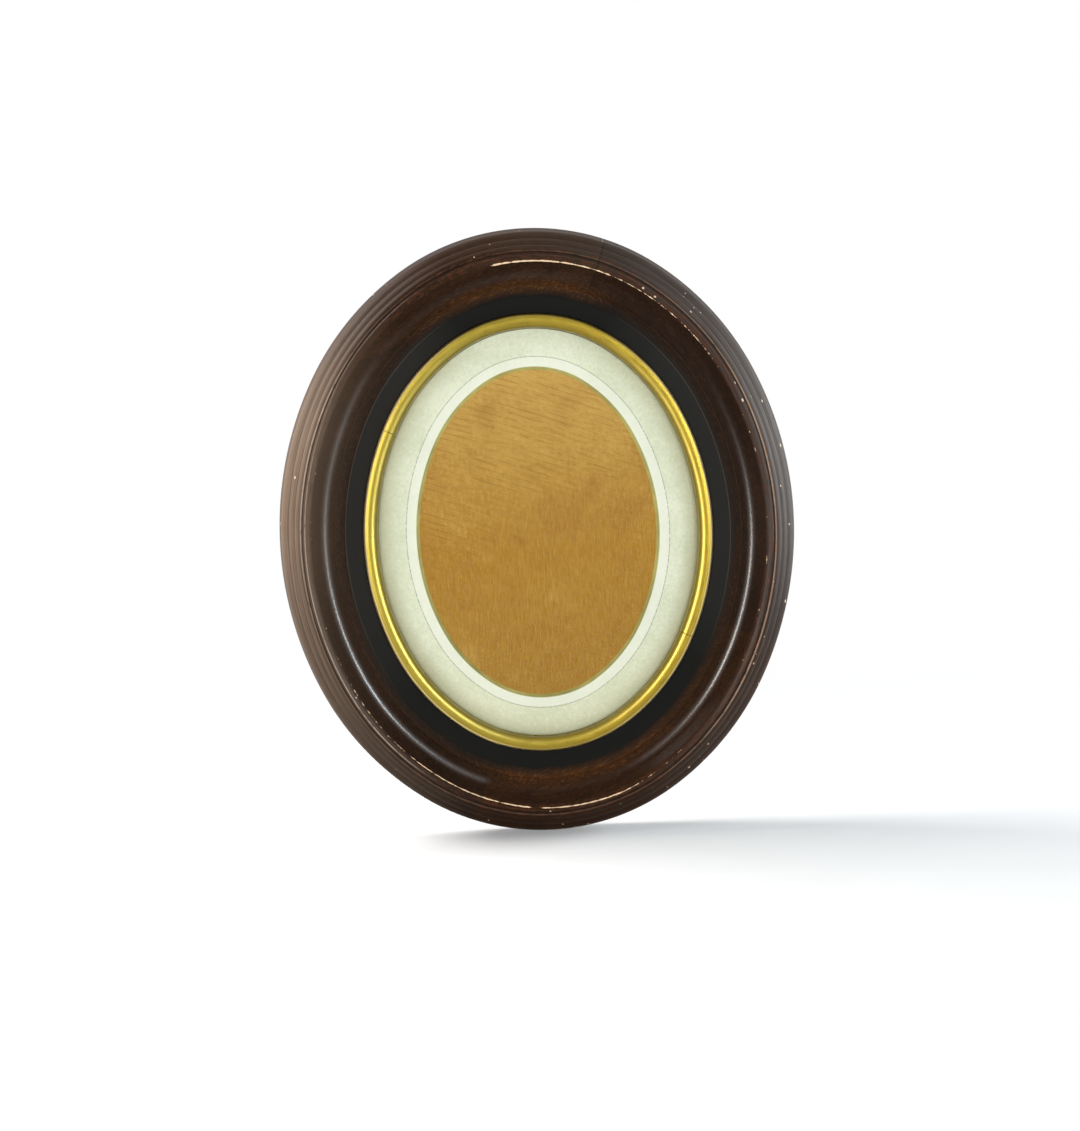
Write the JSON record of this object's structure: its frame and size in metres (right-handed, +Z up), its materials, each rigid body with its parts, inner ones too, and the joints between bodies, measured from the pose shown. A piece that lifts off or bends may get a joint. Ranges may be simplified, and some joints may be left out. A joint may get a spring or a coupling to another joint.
{
  "type": "oval picture frame",
  "caption": "Deep oval wall frame in dark walnut with a black inner band, gilt slip, glass, bevelled mat and a removable back held by turn buttons.",
  "frame": {"origin": "centre of the oval on the wall plane, the plane of the moulding's back land", "axes": "+X across the frame, +Y from the front towards the wall, +Z up"},
  "size_m": [0.3116, 0.046, 0.3646],
  "materials": {
    "walnut": "dark varnished walnut, satin, worn at the crest",
    "gilt": "burnished gilding on a wooden slip",
    "pane": "clear glass",
    "cream_card": "matt cream paper",
    "brown_board": "matt golden brown board",
    "backing_wood": "plain aged softwood",
    "birch": "plain wood",
    "aged_brass": "aged brass",
    "screw_steel": "darkened steel"
  },
  "bodies": {
    "frame": {"backing_board": "backing_wood", "gilt_slip_lower": "gilt", "gilt_slip_upper": "gilt", "glass": "pane", "hanger_plate": "aged_brass", "hanger_screws": "screw_steel", "joint_tongues": "birch", "moulding_lower_left": "walnut", "moulding_lower_right": "walnut", "moulding_upper_left": "walnut", "moulding_upper_right": "walnut", "oval_mat": "cream_card", "picture_board": "brown_board", "turn_button_screws": "screw_steel"},
    "turn_button_upper_right": {"turn_button_upper_right": "aged_brass"},
    "turn_button_upper_left": {"turn_button_upper_left": "aged_brass"},
    "turn_button_lower_left": {"turn_button_lower_left": "aged_brass"},
    "turn_button_lower_right": {"turn_button_lower_right": "aged_brass"},
    "hanger_ring": {"hanger_ring": "aged_brass"}
  },
  "joints": [
    {"name": "turn_button_upper_right_swivel", "type": "hinge", "parent": "frame", "child": "turn_button_upper_right", "pos_m": [0.0776, -0.018, 0.0987], "axis": [0, 1, 0], "range_deg": [-90, 90]},
    {"name": "turn_button_upper_left_swivel", "type": "hinge", "parent": "frame", "child": "turn_button_upper_left", "pos_m": [-0.0776, -0.018, 0.0987], "axis": [0, 1, 0], "range_deg": [-90, 90]},
    {"name": "turn_button_lower_left_swivel", "type": "hinge", "parent": "frame", "child": "turn_button_lower_left", "pos_m": [-0.0776, -0.018, -0.0987], "axis": [0, 1, 0], "range_deg": [-90, 90]},
    {"name": "turn_button_lower_right_swivel", "type": "hinge", "parent": "frame", "child": "turn_button_lower_right", "pos_m": [0.0776, -0.018, -0.0987], "axis": [0, 1, 0], "range_deg": [-90, 90]},
    {"name": "hanger_ring_swing", "type": "hinge", "parent": "frame", "child": "hanger_ring", "pos_m": [0, -0.01574, 0.13125], "axis": [1, 0, 0], "range_deg": [0, 170]}
  ]
}
